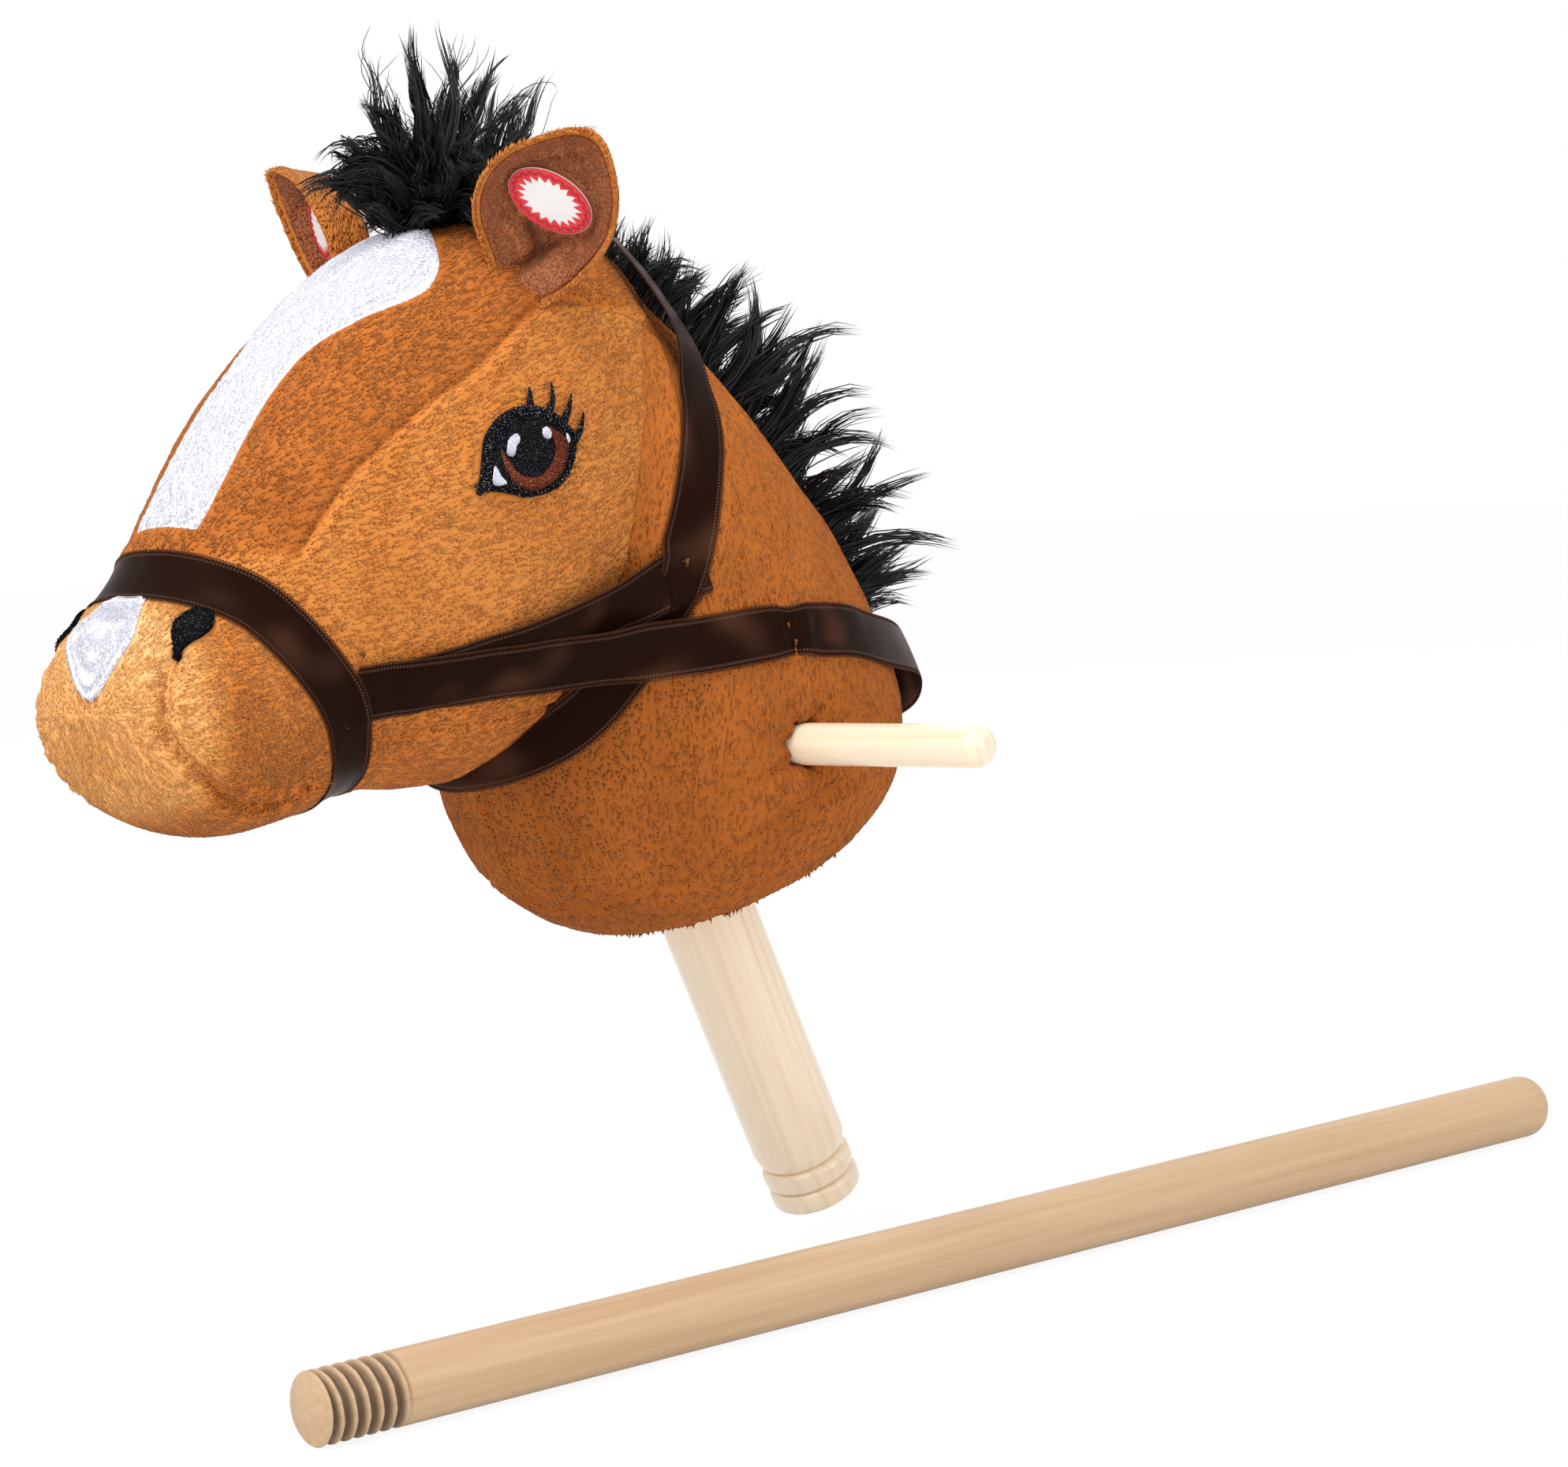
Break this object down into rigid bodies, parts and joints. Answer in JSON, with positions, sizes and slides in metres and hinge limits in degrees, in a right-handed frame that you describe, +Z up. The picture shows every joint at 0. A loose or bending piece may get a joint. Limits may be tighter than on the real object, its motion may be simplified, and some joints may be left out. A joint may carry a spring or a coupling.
{
  "type": "hobby horse",
  "caption": "Toy hobby horse with a stuffed plush head, ribbon bridle, press-switch ears and a turned stick with hand bar and screw-in lower pole.",
  "frame": {"origin": "where the axis of the hand bar crosses the axis of the upper stick, held in the hand", "axes": "+X towards the horse's left along the hand bar, -Y the way the horse faces, +Z up"},
  "size_m": [0.328, 0.6217, 0.4469],
  "materials": {
    "lacquered_wood": "turned pale wood under clear lacquer",
    "sanded_wood": "turned wood, sanded and thinly sealed",
    "tan_plush": "short pile plush, orange brown",
    "brown_plush": "short pile plush, dark brown",
    "white_plush": "short pile plush, white",
    "black_pile": "long black pile",
    "black_embroidery": "machine embroidery",
    "brown_satin": "dark brown satin ribbon with picot edges",
    "red_vinyl": "printed red vinyl, sewn on",
    "tan_sewing_thread": "tan sewing thread",
    "white_plastic": "moulded white plastic",
    "spring_steel": "plain steel",
    "circuit_green": "green solder mask",
    "speaker_black": "black paper cone and frame",
    "red_lead": "red insulated lead"
  },
  "bodies": {
    "head_and_stick": {"upper_stick": "lacquered_wood", "handle_bar": "lacquered_wood", "neck_body": "tan_plush", "neck_base_panel": "tan_plush", "head_body": "tan_plush", "muzzle_body": "tan_plush", "neck_tie": "white_plastic", "ear_left": "tan_plush", "ear_right": "tan_plush", "ear_lining_left": "brown_plush", "ear_lining_right": "brown_plush", "ear_switch_left": "white_plastic", "ear_switch_right": "white_plastic", "switch_spring_left": "spring_steel", "switch_spring_right": "spring_steel", "noseband": "brown_satin", "crown_strap": "brown_satin", "cheek_strap_left": "brown_satin", "cheek_strap_right": "brown_satin", "rein": "brown_satin", "crown_tack_left": "tan_sewing_thread", "crown_tack_right": "tan_sewing_thread", "rein_tack_left": "tan_sewing_thread", "rein_tack_right": "tan_sewing_thread", "noseband_tack_left": "tan_sewing_thread", "noseband_tack_right": "tan_sewing_thread", "blaze_patch": "white_plush", "muzzle_patch": "white_plush", "nostril_left": "black_embroidery", "nostril_right": "black_embroidery", "eye_left": "black_embroidery", "eye_right": "black_embroidery", "forelock": "black_pile", "mane": "black_pile", "sound_box_case": "white_plastic", "sound_box_cover": "white_plastic", "box_screw_1": "spring_steel", "box_screw_2": "spring_steel", "box_screw_3": "spring_steel", "box_screw_4": "spring_steel", "speaker": "speaker_black", "circuit_board": "circuit_green", "button_cell_1": "spring_steel", "button_cell_2": "spring_steel", "button_cell_3": "spring_steel", "cell_contact_left": "spring_steel", "cell_contact_right": "spring_steel", "switch_lead_left": "red_lead", "switch_lead_right": "red_lead"},
    "loose_pole": {"lower_pole": "sanded_wood"},
    "ear_button_left": {"ear_plunger_left": "white_plastic", "ear_label_left": "red_vinyl"},
    "ear_button_right": {"ear_plunger_right": "white_plastic", "ear_label_right": "red_vinyl"}
  },
  "joints": [
    {"name": "pole_lift_off", "type": "slide", "parent": "head_and_stick", "child": "loose_pole", "axis": [0.8, 0, 0.6], "range_m": [0, 0.3]},
    {"name": "ear_press_left", "type": "slide", "parent": "head_and_stick", "child": "ear_button_left", "axis": [-0.4375, 0.8454, 0.3064], "range_m": [0, 0.0012], "stiffness_N_per_m": 400, "springref_m": -0.0008, "deforming": ["switch_spring_left"]},
    {"name": "ear_press_right", "type": "slide", "parent": "head_and_stick", "child": "ear_button_right", "axis": [0.4375, 0.8454, 0.3064], "range_m": [0, 0.0012], "stiffness_N_per_m": 400, "springref_m": -0.0008, "deforming": ["switch_spring_right"]}
  ]
}
